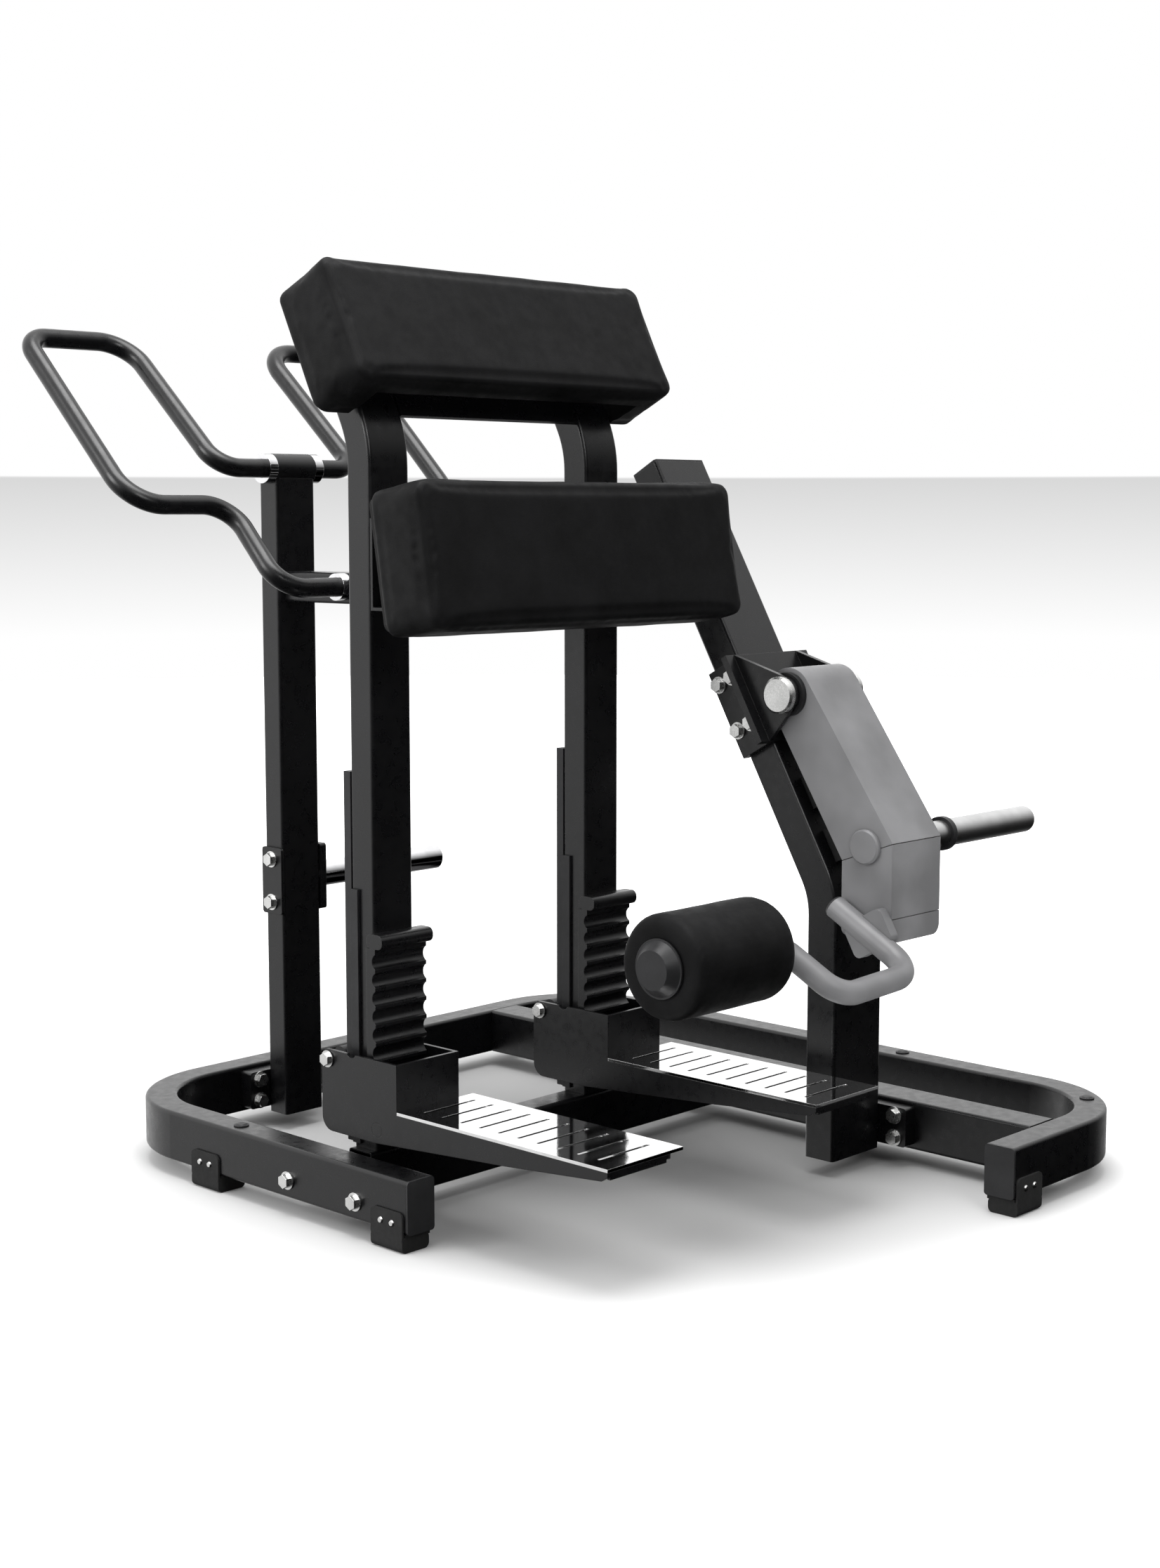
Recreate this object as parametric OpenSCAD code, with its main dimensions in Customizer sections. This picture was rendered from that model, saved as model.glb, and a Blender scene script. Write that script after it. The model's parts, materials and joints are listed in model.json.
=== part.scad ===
// Standing leg curl machine: a plate-loaded lever on a welded frame, two pads, two looped handles
// and two foot platforms that climb toothed racks. Millimetres, +Z up, the user faces +Y.
// Machine coordinates have X = 0 on the centre plane of the uprights; place() moves the whole
// machine so that the row's origin is the centre of its footprint, on the floor.

/* [Base] */
// Overall width of the base, left leg to right bar
base_w = 1255; // [1220:5:1290]
// Overall depth of the base, front leg to rear bar
base_d = 1414; // [1380:2:1450]
// Width of the base tube
tube_w = 57; // [50:1:60]
// Height of the base tube
tube_h = 87; // [80:1:90]
// Gap between the floor and the base tube
floor_gap = 30; // [24:1:36]
// Centre-line radius of the base corners
base_bend_r = 190; // [150:5:210]

/* [Uprights] */
// Distance from the centre plane to the middle of each upright
upright_x = 247.5; // [240:0.5:255]
// Width of an upright
upright_w = 84; // [76:1:88]
// Depth of an upright
upright_d = 55; // [50:1:60]
// Height at which the uprights lean back
upright_bend_z = 1262; // [1240:2:1280]
// Lean of the upright tops and of the upper pad
upper_tilt = 26.4; // [22:0.2:30]

/* [Pads] */
// Width of both pads
pad_w = 726; // [690:2:740]
// Height of the upper pad
upper_pad_h = 209; // [195:1:215]
// Height of the lower pad
lower_pad_h = 224; // [210:1:230]
// Backward tilt of the lower pad
lower_tilt = 9.5; // [7:0.5:12]
// Corner radius of the pads, seen from the front
pad_corner_r = 22; // [15:1:30]

/* [Side post and lever] */
// Backward lean of the side post
post_lean = 29.5; // [28:0.5:31]
// Height of the lever's pivot
pivot_z = 838; // [830:1:846]
// Width of the lever box
lever_w = 140; // [130:1:144]
// Length of the weight horn beyond the lever
horn_len = 352; // [300:1:360]
// Radius of the weight horn
horn_r = 24; // [22:0.5:25]

/* [Roller] */
// Length of the roller pad
roller_len = 240; // [210:1:246]
// Radius of the roller pad
roller_r = 86; // [75:0.5:88]
// Radius of the roller arm tube
arm_r = 20; // [18:0.5:20]

/* [Handles] */
// Radius of the handle tube
handle_r = 17; // [14:0.5:18]
// Distance from the centre plane to the outer run of a handle
handle_reach = 380; // [360:5:390]

/* [Foot platforms] */
// Height of the foot plate at its lowest setting
step_z = 202; // [196:1:208]
// Pitch of the rack teeth
tooth_pitch = 30; // [28:1:32]

/* [Hidden] */
$fn = 48;
frame_black = [0.13, 0.13, 0.14];
pad_black = [0.05, 0.05, 0.05];
lever_grey = [0.45, 0.45, 0.45];
chrome = [0.8, 0.8, 0.8];
rubber_black = [0.08, 0.08, 0.08];

wall = 3;
edge_r = 6;
weld_gap = 0.02;
seam = 1.2;

// Base outline
left_x = -370;
right_x = left_x + base_w;
rear_y = 713;
front_y = rear_y - base_d;
base_z = floor_gap + tube_h / 2;
base_top = floor_gap + tube_h;
leg_front_y = -114;
short_leg_x = 439;
cap_t = 4;
rail_x0 = 569;
rail_w = 78;
tab_t = 4;

// Uprights
upright_y = 71.5;
upright_bend_r = 180;
upright_lean_len = 160;
bracket_z0 = 995;
bracket_z1 = 1140;
tie_z = 1015;
tie_w = 58;
tie_h = 55;

// Rear post, hub and handles
post_y = 601.5;
post_w = 88;
post_d = 51;
hub_y = 597;
hub_z = 1228;
hub_r = 27;
collar_len = 18;
handle_in = 160;
handle_low_in = 172;
handle_top = [862, 1458];
handle_low = [551, 1162];
handle_end = [412, 1018];
store_z = 472;
store_len = 322;

// Side post, in its own plane: a corner, then the leaning part
post2_x = 475.5;
post2_w = 135;
post2_d = 62;
post2_y = -322;
post2_corner_z = 497;
post2_bend_r = 150;
post2_top = 837;
post2_along = [sin(post_lean), cos(post_lean)];
post2_out = [-cos(post_lean), sin(post_lean)];

// Pivot, bracket and lever, [y, z]
pivot = [-248, pivot_z];
pivot_from_corner = pivot - [post2_y, post2_corner_z];
pivot_s = pivot_from_corner * post2_along;
pivot_t = pivot_from_corner * post2_out;
saddle_t = 12;
cheek_t = 16;
ear_t = 10;
ear_x = lever_w / 2 + 12;
ear_round = 32;
shaft_r = 15;
run_gap = 0.05;
bush_r = 25;
barrel_r = 46;
knee_front = [-470, 600];
knee_rear = [-366, 562];
lever_low_z = 472;
lever_bottom_z = 431;
lever_wall = 5;
horn_at = [-416, 590];
lever_x0 = post2_x - lever_w / 2;
lever_x1 = post2_x + lever_w / 2;
horn_end_x = lever_x1 + horn_len;
root_r = horn_r - 0.5;
relief = 0.5;
clamp_t = 14;
collar_x = lever_x1 + 76;
collar_w = 12;

// Roller arm corners, [x, y, z]
roller_at = [-416, 459];
arm_x = lever_x0 - arm_r;
arm_top = [arm_x, -368, 485];
arm_knee = [arm_x, -530, 393];
arm_turn = [188, -530, 384];
arm_in = [166, roller_at[0], roller_at[1]];
arm_tip = [6 - roller_len / 2, roller_at[0], roller_at[1]];

// Foot platforms
plate_t = 6;
carriage_w = 136;
carriage_z1 = 278;
carriage_rear = 148;
carriage_front = -34;
step_front = -490;
step_w = 168;
step_t = 5;
guide_y = upright_y + upright_d / 2 + 16;
axle_at = [guide_y + 17, 262];
guide_roller_r = 16;
axle_r = 7;
rack_w = 111;
rack_crest = 28;
rack_z0 = 140;
tooth_count = 10;
rack_z1 = rack_z0 + 15 + tooth_pitch * tooth_count;
lock_at = [14, 164];
lock_r = 12;
slot_count = 10;
slot_pitch = 42;

// Centre of the footprint in machine coordinates
centre_x = (left_x - tab_t + horn_end_x) / 2;
centre_y = (front_y - tab_t + handle_top[0] + handle_r) / 2;

// ---- Shared shapes ----

module place() translate([-centre_x, -centre_y, 0]) children();

// Rounded rectangle centred on the origin
module rounded(a, b, r) {
    square([a - 2 * r, b], center = true);
    square([a, b - 2 * r], center = true);
    for (sx = [-1, 1], sy = [-1, 1])
        translate([sx * (a / 2 - r), sy * (b / 2 - r)]) circle(r);
}

// Straight bars with a rounded section, along X, Y and Z
module bar_x(x0, x1, y, z, w, h, r) {
    translate([x0, y, z]) rotate([90, 0, 90]) linear_extrude(x1 - x0) rounded(w, h, r);
}
module bar_y(y0, y1, x, z, w, h, r) {
    translate([x, y0, z]) rotate([-90, 0, 0]) linear_extrude(y1 - y0) rounded(w, h, r);
}
module bar_z(z0, z1, x, y, w, d, r) {
    translate([x, y, z0]) linear_extrude(z1 - z0) rounded(w, d, r);
}

// Hollow straight tubes
module tube_x(x0, x1, y, z, w, h) difference() {
    bar_x(x0, x1, y, z, w, h, edge_r);
    bar_x(x0 - 1, x1 + 1, y, z, w - 2 * wall, h - 2 * wall, edge_r - wall);
}
module tube_y(y0, y1, x, z, w, h) difference() {
    bar_y(y0, y1, x, z, w, h, edge_r);
    bar_y(y0 - 1, y1 + 1, x, z, w - 2 * wall, h - 2 * wall, edge_r - wall);
}

// A solid that rises for len1, bends towards +Y through ang at radius bend, and runs on for len2
module bent_solid(w, d, r, len1, bend, ang, len2) {
    linear_extrude(len1) rounded(w, d, r);
    translate([0, bend, len1]) rotate([90, 0, -90])
        rotate_extrude(angle = ang) translate([bend, 0]) rounded(d, w, r);
    translate([0, bend - bend * cos(ang), len1 + bend * sin(ang)]) rotate([-ang, 0, 0])
        linear_extrude(len2) rounded(w, d, r);
}
module bent_tube(w, d, len1, bend, ang, len2) difference() {
    bent_solid(w, d, edge_r, len1, bend, ang, len2);
    translate([0, 0, -1])
        bent_solid(w - 2 * wall, d - 2 * wall, edge_r - wall, len1 + 1, bend, ang, len2 + 2);
}

// Extrudes a flat [y, z] shape along X, from x0 to x1
module along_x(x0, x1) translate([x0, 0, 0]) rotate([90, 0, 90]) linear_extrude(x1 - x0) children();

// A cylinder along X through the point at = [y, z]
module rod_x(x0, x1, at, r) translate([x0, at[0], at[1]]) rotate([0, 90, 0]) cylinder(r = r, h = x1 - x0);

// Places a flat shape drawn as [along the side post, out of its front] into the [y, z] plane
module on_post2() translate([post2_y, post2_corner_z]) rotate(90 - post_lean) children();

function unit(v) = v / norm(v);
function trim(p, i, bends) =
    let (a = unit(p[i] - p[i - 1]), b = unit(p[i + 1] - p[i]))
    bends[i - 1] * tan(acos(a * b) / 2);

// A tube through the points p, with a bend of radius bends[i - 1] at each inner point i
module round_tube(p, bends, r) {
    last = len(p) - 1;
    for (i = [0:last - 1]) {
        dir = unit(p[i + 1] - p[i]);
        start = p[i] + dir * (i == 0 ? 0 : trim(p, i, bends) + weld_gap);
        end = p[i + 1] - dir * (i == last - 1 ? 0 : trim(p, i + 1, bends) + weld_gap);
        side = unit(cross(dir, abs(dir[2]) < 0.9 ? [0, 0, 1] : [1, 0, 0]));
        up = cross(dir, side);
        multmatrix([
            [side[0], up[0], dir[0], start[0]],
            [side[1], up[1], dir[1], start[1]],
            [side[2], up[2], dir[2], start[2]],
            [0, 0, 0, 1]
        ]) linear_extrude(norm(end - start)) tube_section(r);
    }
    for (i = [1:last - 1]) {
        a = unit(p[i] - p[i - 1]);
        b = unit(p[i + 1] - p[i]);
        turn = acos(a * b);
        axis = unit(cross(a, b));
        inward = cross(axis, a);
        hub = p[i] - a * trim(p, i, bends) + inward * bends[i - 1];
        multmatrix([
            [-inward[0], a[0], axis[0], hub[0]],
            [-inward[1], a[1], axis[1], hub[1]],
            [-inward[2], a[2], axis[2], hub[2]],
            [0, 0, 0, 1]
        ]) rotate_extrude(angle = turn) translate([bends[i - 1], 0]) tube_section(r);
    }
}
module tube_section(r) difference() {
    circle(r);
    circle(r - wall);
}

// A hex bolt whose head stands on z = 0 and whose shank goes down
module hex_bolt(shank, r = 8) {
    cylinder(r = 1.9 * r, h = 2.5);
    translate([0, 0, 2.5]) cylinder(r = 1.5 * r, h = 9, $fn = 6);
    translate([0, 0, -shank]) cylinder(r = r, h = shank);
}

// Bolt places: the shank of each is cut from what it passes through
module at_rear_flange() for (x = [-66, 66], z = [54, 94])
    translate([x, 627, z]) rotate([90, 0, 0]) children();
module at_side_flange() for (y = [-386, -258], z = [54, 94])
    translate([post2_x + post2_w / 2, y, z]) rotate([0, -90, 0]) children();
module at_left_leg() for (y = [6, 174])
    translate([left_x, y, 60]) rotate([0, -90, 0]) children();
module at_storage_clamp() for (z = [store_z - 40, store_z + 40])
    translate([-post_w / 2 - 6, post_y, z]) rotate([0, -90, 0]) children();
module at_bracket(side) for (s = [pivot_s - 10, pivot_s + 79], t = [-18, 15]) {
    at = [post2_y, post2_corner_z] + s * post2_along + t * post2_out;
    translate([post2_x + side * (post2_w / 2 + cheek_t), at[0], at[1]]) rotate([0, side * 90, 0]) children();
}

// ---- Base ----

module base_path(w, h, r, extra) {
    leg_x = left_x + tube_w / 2;
    bar_x0 = right_x - tube_w / 2;
    rear = rear_y - tube_w / 2;
    front = front_y + tube_w / 2;
    bar_y(leg_front_y - extra, rear - base_bend_r, leg_x, base_z, w, h, r);
    bar_x(leg_x + base_bend_r, bar_x0 - base_bend_r, rear, base_z, w, h, r);
    bar_y(front + base_bend_r, rear - base_bend_r, bar_x0, base_z, w, h, r);
    bar_x(short_leg_x - extra, bar_x0 - base_bend_r, front, base_z, w, h, r);
    for (c = [
        [leg_x + base_bend_r, rear - base_bend_r, 90],
        [bar_x0 - base_bend_r, rear - base_bend_r, 0],
        [bar_x0 - base_bend_r, front + base_bend_r, -90]
    ]) translate([c[0], c[1], base_z]) rotate(c[2])
        rotate_extrude(angle = 90) translate([base_bend_r, 0]) rounded(w, h, r);
}

module base_tube() color(frame_black) place() difference() {
    base_path(tube_w, tube_h, edge_r, 0);
    base_path(tube_w - 2 * wall, tube_h - 2 * wall, edge_r - wall, 1);
    at_left_leg() translate([0, 0, -80]) cylinder(r = 8, h = 81);
    at_rear_flange() translate([0, 0, -50]) cylinder(r = 8, h = 51);
}

module inner_rail() color(frame_black) place() difference() {
    tube_y(front_y + tube_w, rear_y - tube_w, rail_x0 + rail_w / 2, base_z, rail_w, tube_h);
    at_side_flange() translate([0, 0, -50]) cylinder(r = 8, h = 51);
}

module cross_bar() color(frame_black) place() {
    difference() {
        union() {
            tube_x(left_x + tube_w + 12, rail_x0, upright_y, base_z, upright_d, tube_h);
            bar_x(left_x + tube_w, left_x + tube_w + 12, 90, base_z, 215, 72, edge_r);
        }
        at_left_leg() translate([0, 0, -80]) cylinder(r = 8, h = 81);
    }
}

// Plastic closures: open tube ends, and the small oval plugs on top of the base
module tube_end_caps() color(rubber_black) place() {
    bar_y(leg_front_y - cap_t, leg_front_y, left_x + tube_w / 2, base_z, tube_w, tube_h, edge_r);
    bar_x(short_leg_x - cap_t, short_leg_x, front_y + tube_w / 2, base_z, tube_w, tube_h, edge_r);
    for (side = [-1, 1]) translate([side * upright_x, upright_y, 0]) upright_top()
        linear_extrude(cap_t) rounded(upright_w, upright_d, edge_r);
    translate([post2_x, post2_y, 0]) post2_end() linear_extrude(cap_t) rounded(post2_w, post2_d, edge_r);
    corner = base_bend_r * (1 - cos(45)) + tube_w / 2;
    for (at = [[left_x + 28, 330], [right_x - 28, -180], [right_x - corner, front_y + corner]])
        translate([at[0], at[1], base_top]) {
            cylinder(r = 13, h = 2);
            translate([0, 0, 2]) cylinder(r1 = 11, r2 = 8, h = 2);
        }
}

// A rubber foot: a block under the tube and a tab up its outer side, drawn for a leg along Y
module foot(len) {
    bar_y(-len / 2, len / 2, tube_w / 2 - tab_t, 13, tube_w, 26, 9);
    bar_y(-len / 2, len / 2, tube_w / 2, 26, tube_w - 4, 8, 1);
    translate([-tab_t, 0, 40]) rotate([90, 0, 90]) linear_extrude(tab_t) rounded(len, 50, 10);
}

// Feet: [x, y, turn], on the outer face of the tube
function foot_places() = [
    [left_x, leg_front_y + 42, 0],
    [left_x, 392, 0],
    [short_leg_x + 40, front_y, 90],
    [right_x, -330, 180],
    [right_x, 420, 180],
    [300, rear_y, -90]
];
foot_len = 74;

module base_feet() color(rubber_black) place()
    for (f = foot_places()) translate([f[0], f[1], 0]) rotate(f[2]) difference() {
        foot(foot_len);
        translate([0, -100, floor_gap]) cube([200, 200, 100]);
        foot_screw_places() translate([0, 0, -6]) cylinder(r = 3, h = 8);
    }

module foot_screw_places() for (y = [-13, 13])
    translate([-tab_t, y, 46]) rotate([0, -90, 0]) children();

// All the bolts and screws of the frame
module frame_bolts() color(chrome) place() {
    at_rear_flange() hex_bolt(34);
    at_side_flange() hex_bolt(31);
    at_left_leg() hex_bolt(72);
    at_storage_clamp() hex_bolt(post_w + 14);
    for (f = foot_places()) translate([f[0], f[1], 0]) rotate(f[2]) foot_screw_places() {
        cylinder(r1 = 5.5, r2 = 4, h = 2.5);
        translate([0, 0, -tab_t]) cylinder(r = 3, h = tab_t);
    }
}

// ---- Uprights and crossings ----

upright_trim = upright_bend_r * tan(upper_tilt / 2);
upright_len1 = upright_bend_z - upright_trim - base_top;

module upright(side) {
    translate([side * upright_x, upright_y, base_top])
        bent_tube(upright_w, upright_d, upright_len1, upright_bend_r, upper_tilt, upright_lean_len);
}

// Moves its children to the open top of an upright that stands at the origin
module upright_top() translate([0, 0, upright_bend_z])
    rotate([-upper_tilt, 0, 0]) translate([0, 0, upright_trim + upright_lean_len]) children();

module left_upright() color(frame_black) place() upright(-1);
module right_upright() color(frame_black) place() upright(1);

// Local frame of a pad: x across, y into the pad from its front face, z up its height
upper_pad_at = [24.5, 1450.5];
lower_pad_at = [-163.5, 1088.5];
module pad_frame(at, tilt) translate([0, at[0], at[1]]) rotate([-tilt, 0, 0]) children();
module upper_pad_frame() pad_frame(upper_pad_at, upper_tilt) children();
module lower_pad_frame() pad_frame(lower_pad_at, lower_tilt) children();

upper_pad_t = 118;
plate_y = 98.5;
pocket_w = 600;
pocket_front = 40;
pocket_top = 62;
board_t = 12;
lower_pad_t = 108;

module top_cross_plate() color(frame_black) place() upper_pad_frame() {
    inner = 2 * (upright_x - upright_w / 2);
    translate([-inner / 2, plate_y, -116]) cube([inner, 8, 176]);
    for (side = [-1, 1]) translate([side * 130 - 25, pocket_front + board_t, -30])
        difference() {
            cube([50, plate_y - pocket_front - board_t, 80]);
            translate([-1, 4, 4]) cube([52, plate_y - pocket_front - board_t - 8, 72]);
        }
}

module mid_cross_bar() color(frame_black) place()
    tube_x(-upright_x + upright_w / 2, upright_x - upright_w / 2, upright_y, tie_z, upright_d, tie_h);

module tie_bar() color(frame_black) place()
    tube_y(upright_y + upright_d / 2, post_y - post_d / 2, 0, tie_z, tie_w, tie_h);

module rear_post() color(frame_black) place() difference() {
    bar_z(floor_gap, hub_z, 0, post_y, post_w, post_d, edge_r);
    bar_z(floor_gap - 1, hub_z + 1, 0, post_y, post_w - 2 * wall, post_d - 2 * wall, edge_r - wall);
    rod_x(-100, 100, [hub_y, hub_z], hub_r);
    at_storage_clamp() translate([0, 0, -120]) cylinder(r = 8, h = 130);
    rod_x(0, 100, [post_y, store_z], root_r);
}

module rear_post_flange() color(frame_black) place() difference() {
    for (y = [627, 641.5]) bar_y(y, y + 14.5, 0, 74, 176, 70, edge_r);
    at_rear_flange() translate([0, 0, -50]) cylinder(r = 8, h = 51);
}

module handle_hub() color(frame_black) place() difference() {
    rod_x(-post_w / 2, post_w / 2, [hub_y, hub_z], hub_r);
    rod_x(-post_w / 2 - 1, post_w / 2 + 1, [hub_y, hub_z], handle_r);
}

// Half of the handle pair: out of the hub, back and up, across, down, in, down and into the tie bar
module handle(side) {
    p = [
        [side * 6, hub_y, hub_z],
        [side * handle_in, hub_y, hub_z],
        [side * handle_in, handle_top[0], handle_top[1]],
        [side * handle_reach, handle_top[0], handle_top[1]],
        [side * handle_reach, handle_low[0], handle_low[1]],
        [side * handle_low_in, handle_low[0], handle_low[1]],
        [side * handle_low_in, handle_end[0], handle_end[1]],
        [side * tie_w / 2, handle_end[0], handle_end[1]]
    ];
    round_tube(p, [50, 65, 45, 70, 60, 55], handle_r);
}
module left_handle() color(frame_black) place() handle(-1);
module right_handle() color(frame_black) place() handle(1);

module ring_x(x0, x1, at, r_out, r_in) difference() {
    rod_x(x0, x1, at, r_out);
    rod_x(x0 - 1, x1 + 1, at, r_in);
}

module handle_collars() color(chrome) place() for (side = [-1, 1]) {
    hub_face = side * post_w / 2;
    tie_face = side * tie_w / 2;
    ring_x(min(hub_face, hub_face + side * collar_len), max(hub_face, hub_face + side * collar_len),
        [hub_y, hub_z], hub_r, handle_r);
    ring_x(min(tie_face, tie_face + side * 20), max(tie_face, tie_face + side * 20),
        handle_end, 24, handle_r);
}

module storage_horn() color(chrome) place() {
    seat = post_w / 2 + clamp_t + relief;
    rod_x(8, seat, [post_y, store_z], root_r);
    rod_x(seat, post_w / 2 + store_len - 6, [post_y, store_z], horn_r);
    translate([post_w / 2 + store_len - 6, post_y, store_z]) rotate([0, 90, 0])
        cylinder(r1 = horn_r, r2 = horn_r - 6, h = 6);
}

module storage_clamp() color(frame_black) place() difference() {
    for (x = [-post_w / 2 - 6, post_w / 2])
        bar_x(x, x + (x < 0 ? 6 : clamp_t), post_y, store_z, post_d + 4, 124, edge_r);
    at_storage_clamp() translate([0, 0, -120]) cylinder(r = 8, h = 130);
    rod_x(post_w / 2 - 1, 100, [post_y, store_z], root_r);
}

// ---- Side post ----

post2_trim = post2_bend_r * tan(post_lean / 2);
post2_len1 = post2_corner_z - post2_trim - floor_gap;

module post2_end() translate([0, 0, post2_corner_z]) rotate([-post_lean, 0, 0])
    translate([0, 0, post2_top]) children();

module right_post() color(frame_black) place() difference() {
    translate([post2_x, post2_y, floor_gap])
        bent_tube(post2_w, post2_d, post2_len1, post2_bend_r, post_lean, post2_top - post2_trim);
    for (side = [-1, 1]) at_bracket(side) translate([0, 0, -60]) cylinder(r = 8, h = 61);
}

module post_link() color(frame_black) place()
    tube_x(upright_x + upright_w / 2, post2_x - post2_w / 2, 68, 1160, 46, 68);

module right_post_flange() color(frame_black) place() difference() {
    side = post2_x + post2_w / 2;
    for (x = [side, side + 13]) bar_x(x, x + 13, post2_y, 74, 176, 70, edge_r);
    at_side_flange() translate([0, 0, -50]) cylinder(r = 8, h = 51);
}

// ---- Pivot ----

saddle_s0 = pivot_s - 58;
saddle_s1 = pivot_s + 108;
face_t = post2_d / 2;

// The saddle: a front plate, cheeks on both sides of the post, and two ears that carry the shaft
module pivot_bracket() color(frame_black) place() difference() {
    union() {
        along_x(post2_x - 114, post2_x + 114) on_post2()
            translate([saddle_s0, face_t]) square([saddle_s1 - saddle_s0, saddle_t]);
        for (side = [-1, 1]) {
            cheek_in = post2_x + side * post2_w / 2;
            ear_in = post2_x + side * ear_x;
            along_x(min(cheek_in, cheek_in + side * cheek_t), max(cheek_in, cheek_in + side * cheek_t))
                on_post2() translate([saddle_s0, -face_t])
                    square([saddle_s1 - 2 - saddle_s0, 2 * face_t]);
            along_x(min(ear_in, ear_in + side * ear_t), max(ear_in, ear_in + side * ear_t)) on_post2() ear();
        }
    }
    rod_x(post2_x - 200, post2_x + 200, pivot, shaft_r);
    for (side = [-1, 1]) at_bracket(side) translate([0, 0, -60]) cylinder(r = 8, h = 61);
}

function tangent(k, c, r, side) =
    let (v = k - c, a = atan2(v[1], v[0]) + side * acos(r / norm(v)))
    c + r * [cos(a), sin(a)];

module ear() {
    c = [pivot_s, pivot_t];
    foot_t = face_t + saddle_t;
    low = [saddle_s0, foot_t];
    high = [saddle_s1, foot_t];
    translate(c) circle(ear_round);
    polygon([low, tangent(low, c, ear_round, -1), c, tangent(high, c, ear_round, 1), high]);
}

module bracket_bolts() color(chrome) place() for (side = [-1, 1]) at_bracket(side) hex_bolt(24);

module pivot_shaft() color(chrome) place()
    rod_x(post2_x - ear_x - ear_t, post2_x + ear_x + ear_t, pivot, shaft_r);

module pivot_caps() color(chrome) place() for (side = [-1, 1])
    translate([post2_x + side * (ear_x + ear_t), pivot[0], pivot[1]]) rotate([0, side * 90, 0]) {
        cylinder(r = 32, h = 9);
        translate([0, 0, 9]) cylinder(r1 = 32, r2 = 28, h = 3);
    }

// Rubber blocks on the front of the side post, which the lever rests on
stop_s = [175, 74];
stop_gap = 0.4;
stop_len = 60;
stop_w = 70;
function lever_gap(s) =
    let (u = unit(tangent(knee_rear, pivot, barrel_r, 1) - knee_rear),
        base = [post2_y, post2_corner_z] + s * post2_along + face_t * post2_out,
        n = [-u[1], u[0]])
    ((knee_rear - base) * n) / (post2_out * n) - stop_gap;

module lever_stops() color(rubber_black) place()
    along_x(post2_x - stop_w / 2, post2_x + stop_w / 2) on_post2()
        for (s = stop_s) polygon([
            [s - stop_len / 2, face_t],
            [s - stop_len / 2, face_t + lever_gap(s - stop_len / 2)],
            [s + stop_len / 2, face_t + lever_gap(s + stop_len / 2)],
            [s + stop_len / 2, face_t]
        ]);

// ---- Pads ----

module pad_block(h, t) translate([0, t, 0]) rotate([90, 0, 0]) {
    linear_extrude(t - 8) rounded(pad_w, h, pad_corner_r);
    translate([0, 0, t - 8]) linear_extrude(8) rounded(pad_w - 6, h - 6, pad_corner_r - 3);
}

module upper_pad() color(pad_black) place() upper_pad_frame() difference() {
    pad_block(upper_pad_h, upper_pad_t);
    translate([-pocket_w / 2, pocket_front, -upper_pad_h]) cube([pocket_w, 200, upper_pad_h + pocket_top]);
}

module upper_pad_board() color(rubber_black) place() upper_pad_frame()
    translate([0, pocket_front, -20]) rotate([-90, 0, 0])
        linear_extrude(board_t) rounded(pocket_w - 4, 160, 12);

module lower_pad() color(pad_black) place() lower_pad_frame() pad_block(lower_pad_h, lower_pad_t);

module lower_pad_board() color(rubber_black) place() lower_pad_frame()
    translate([0, lower_pad_t, 0]) rotate([-90, 0, 0])
        linear_extrude(board_t) rounded(pad_w - 16, lower_pad_h - 16, pad_corner_r - 8);

// Boxes between the uprights and the lower pad
module pad_brackets() color(frame_black) place() {
    back = lower_pad_t + board_t;
    board = function(z) lower_pad_at[0] + back / cos(lower_tilt) + (z - lower_pad_at[1]) * tan(lower_tilt);
    face = upright_y - upright_d / 2;
    for (side = [-1, 1]) along_x(side * upright_x - upright_w / 2, side * upright_x + upright_w / 2)
        difference() {
            polygon([[board(bracket_z0), bracket_z0], [face, bracket_z0],
                [face, bracket_z1], [board(bracket_z1), bracket_z1]]);
            polygon([[board(bracket_z0) + 6, bracket_z0 + 5], [face - 5, bracket_z0 + 5],
                [face - 5, bracket_z1 - 5], [board(bracket_z1) + 4, bracket_z1 - 5]]);
        }
}

// ---- Racks and guides ----

// A channel that straddles the upright's front, with round notches across its face and a stop on top
module rack(side) translate([side * upright_x, 0, 0]) {
    face = upright_y - upright_d / 2;
    difference() {
        union() {
            translate([-rack_w / 2, rack_crest, rack_z0]) cube([rack_w, 22, rack_z1 - rack_z0]);
            bar_x(-rack_w / 2, rack_w / 2, rack_crest + 2, rack_z1 + 12, 38, 24, 11);
        }
        translate([-upright_w / 2, face, rack_z0 - 1]) cube([upright_w, 60, rack_z1 - rack_z0 + 40]);
        for (i = [0:tooth_count - 1])
            rod_x(-rack_w, rack_w, [rack_crest - 6, rack_z0 + 24 + i * tooth_pitch], 13.5);
    }
}
module left_rack() color(frame_black) place() rack(-1);
module right_rack() color(frame_black) place() rack(1);

// Wear strips: one up the back of each upright, and one on each of its sides
module guide_strips() color(frame_black) place() for (side = [-1, 1]) translate([side * upright_x, 0, 0]) {
    back = upright_y + upright_d / 2;
    translate([-upright_w / 2, back, base_top + 8]) cube([upright_w, guide_y - back, 610]);
    for (x = [-upright_w / 2 - 5, upright_w / 2]) translate([x, back - 20, base_top + 8]) cube([5, 18, 420]);
}

// ---- Lever ----

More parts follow.
